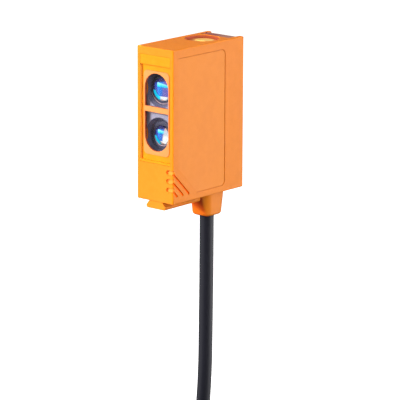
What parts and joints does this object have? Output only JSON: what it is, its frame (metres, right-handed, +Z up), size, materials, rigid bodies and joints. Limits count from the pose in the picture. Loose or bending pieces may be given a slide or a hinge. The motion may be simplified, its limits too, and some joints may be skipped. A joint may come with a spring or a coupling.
{
  "type": "photoelectric sensor",
  "caption": "Compact cuboid photoelectric sensor: dovetail rail, lenses one above the other, top sensitivity adjuster, clear lamp window and a fixed cable.",
  "frame": {"origin": "centre of the dovetail rail's flat bottom face", "axes": "+Z up along the body's height, the optics look along -Y, the side cover faces +X"},
  "size_m": [0.0246, 0.0683, 0.1895],
  "materials": {
    "housing": "fine-grained orange moulded plastic",
    "side_cover": "fine-grained orange moulded plastic",
    "front_cover": "smooth orange moulded plastic",
    "window_bezel": "smooth pale orange plastic",
    "front_window": "clear polished pane",
    "optics_carrier": "dark grey moulded plastic",
    "receiver_lens": "polished, blue anti-reflection coating",
    "emitter_lens": "polished, blue anti-reflection coating",
    "receiver_lens_ring": "black moulded ring",
    "emitter_lens_ring": "black moulded ring",
    "emitter_lamp": "red-tinted clear epoxy",
    "receiver_diode": "dark filter epoxy",
    "circuit_board": "green solder mask",
    "receiver_shield": "tinned steel sheet",
    "board_connector": "black moulded header",
    "moulded_chip": "black epoxy package",
    "filter_capacitor": "drawn aluminium can",
    "potentiometer": "blue moulded case",
    "power_lamp": "green lamp, diffuse epoxy",
    "output_lamp": "yellow lamp, diffuse epoxy",
    "sensitivity_adjuster": "yellow-orange moulded plastic",
    "adjuster_seal": "black rubber",
    "indicator_window": "clear, faintly smoky",
    "cable_gland": "orange moulded plastic",
    "cable_seal": "black rubber",
    "cable_jacket": "satin black cable jacket",
    "cable_crimp": "plain brass band",
    "lead_brown": "brown wire insulation",
    "lead_blue": "blue wire insulation",
    "lead_black": "black wire insulation",
    "cable_tie": "black nylon"
  },
  "bodies": {
    "sensor_body": {"adjuster_board": "circuit_board", "adjuster_seal": "adjuster_seal", "board_connector": "board_connector", "cable_coil": "cable_jacket", "cable_crimp": "cable_crimp", "cable_gland": "cable_gland", "cable_run": "cable_jacket", "cable_seal": "cable_seal", "cable_tail": "cable_jacket", "core_black": "lead_black", "core_blue": "lead_blue", "core_brown": "lead_brown", "emitter_lamp": "emitter_lamp", "emitter_lens": "emitter_lens", "emitter_lens_ring": "emitter_lens_ring", "filter_capacitor": "filter_capacitor", "front_cover": "front_cover", "front_window": "front_window", "housing": "housing", "indicator_window": "indicator_window", "jacket_end": "cable_jacket", "lead_black": "lead_black", "lead_blue": "lead_blue", "lead_brown": "lead_brown", "lower_tie": "cable_tie", "main_board": "circuit_board", "optics_board": "circuit_board", "optics_carrier": "optics_carrier", "output_driver": "moulded_chip", "output_lamp": "output_lamp", "potentiometer": "potentiometer", "power_lamp": "power_lamp", "processor_chip": "moulded_chip", "receiver_diode": "receiver_diode", "receiver_lens": "receiver_lens", "receiver_lens_ring": "receiver_lens_ring", "receiver_shield": "receiver_shield", "side_cover": "side_cover", "supply_regulator": "moulded_chip", "upper_tie": "cable_tie", "window_bezel": "window_bezel"},
    "adjuster": {"sensitivity_adjuster": "sensitivity_adjuster"}
  },
  "joints": [
    {"name": "adjuster_turn", "type": "hinge", "parent": "sensor_body", "child": "adjuster", "pos_m": [0, 0.0119, 0.0439], "axis": [0, 0, 1], "range_deg": [-135, 135]}
  ]
}
